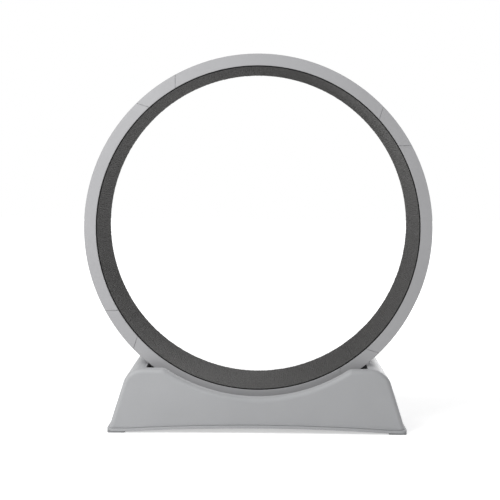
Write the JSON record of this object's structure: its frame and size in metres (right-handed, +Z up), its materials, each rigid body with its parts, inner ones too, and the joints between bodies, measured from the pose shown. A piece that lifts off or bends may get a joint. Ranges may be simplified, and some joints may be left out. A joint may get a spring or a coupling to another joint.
{
  "type": "cat exercise wheel",
  "caption": "Running wheel for a cat: carpet lined drum that turns on rollers in a moulded plastic base.",
  "frame": {"origin": "on the floor, under the middle of the base", "axes": "+Z up, the drum's axis along Y, the front face towards -Y, +X to the right seen from the front"},
  "size_m": [0.9, 0.368, 0.97],
  "materials": {
    "base_plastic": "fine moulded grain, light grey",
    "wheel_plastic": "fine moulded grain, light grey",
    "carpet": "short dark grey loop pile",
    "roller_rubber": "smooth black",
    "foot_rubber": "matt grey",
    "roller_plastic": "natural white nylon",
    "bracket_plastic": "black nylon",
    "bearing_steel": "ground",
    "axle_steel": "ground",
    "fastener_steel": "zinc plated"
  },
  "bodies": {
    "base": {"base_tray": "base_plastic", "front_shell": "base_plastic", "rear_shell": "base_plastic", "left_axle": "axle_steel", "right_axle": "axle_steel", "bearing_inner_races": "bearing_steel", "axle_spacers": "bracket_plastic", "axle_circlips": "axle_steel", "shell_screws": "fastener_steel", "foot_screws": "fastener_steel", "bracket_screws": "fastener_steel", "front_left_bracket": "bracket_plastic", "front_left_foot": "foot_rubber", "rear_left_bracket": "bracket_plastic", "rear_left_foot": "foot_rubber", "front_right_bracket": "bracket_plastic", "front_right_foot": "foot_rubber", "rear_right_bracket": "bracket_plastic", "rear_right_foot": "foot_rubber"},
    "wheel": {"track_section_1": "wheel_plastic", "carpet_mat_1": "carpet", "joint_clip_front_1": "wheel_plastic", "joint_clip_rear_1": "wheel_plastic", "track_section_2": "wheel_plastic", "carpet_mat_2": "carpet", "joint_clip_front_2": "wheel_plastic", "joint_clip_rear_2": "wheel_plastic", "track_section_3": "wheel_plastic", "carpet_mat_3": "carpet", "joint_clip_front_3": "wheel_plastic", "joint_clip_rear_3": "wheel_plastic", "track_section_4": "wheel_plastic", "carpet_mat_4": "carpet", "joint_clip_front_4": "wheel_plastic", "joint_clip_rear_4": "wheel_plastic", "clip_screws": "fastener_steel", "joint_bolts": "fastener_steel", "joint_nuts": "fastener_steel"},
    "front_left_roller": {"front_left_roller_hub": "roller_plastic", "front_left_roller_tyre": "roller_rubber", "front_left_roller_bearings": "bearing_steel"},
    "rear_left_roller": {"rear_left_roller_hub": "roller_plastic", "rear_left_roller_tyre": "roller_rubber", "rear_left_roller_bearings": "bearing_steel"},
    "front_right_roller": {"front_right_roller_hub": "roller_plastic", "front_right_roller_tyre": "roller_rubber", "front_right_roller_bearings": "bearing_steel"},
    "rear_right_roller": {"rear_right_roller_hub": "roller_plastic", "rear_right_roller_tyre": "roller_rubber", "rear_right_roller_bearings": "bearing_steel"}
  },
  "joints": [
    {"name": "wheel_spin", "type": "hinge", "parent": "base", "child": "wheel", "pos_m": [0, 0, 0.52], "axis": [0, 1, 0], "continuous": true},
    {"name": "front_left_roller_spin", "type": "hinge", "parent": "base", "child": "front_left_roller", "pos_m": [-0.2507, -0.099, 0.13396], "axis": [0, 1, 0], "continuous": true},
    {"name": "rear_left_roller_spin", "type": "hinge", "parent": "base", "child": "rear_left_roller", "pos_m": [-0.2507, 0.099, 0.13396], "axis": [0, 1, 0], "continuous": true},
    {"name": "front_right_roller_spin", "type": "hinge", "parent": "base", "child": "front_right_roller", "pos_m": [0.2507, -0.099, 0.13396], "axis": [0, 1, 0], "continuous": true},
    {"name": "rear_right_roller_spin", "type": "hinge", "parent": "base", "child": "rear_right_roller", "pos_m": [0.2507, 0.099, 0.13396], "axis": [0, 1, 0], "continuous": true}
  ],
  "couplings": [
    {"joint": "front_left_roller_spin", "follows": "wheel_spin", "ratio": -13.375},
    {"joint": "rear_left_roller_spin", "follows": "wheel_spin", "ratio": -13.375},
    {"joint": "front_right_roller_spin", "follows": "wheel_spin", "ratio": -13.375},
    {"joint": "rear_right_roller_spin", "follows": "wheel_spin", "ratio": -13.375}
  ]
}
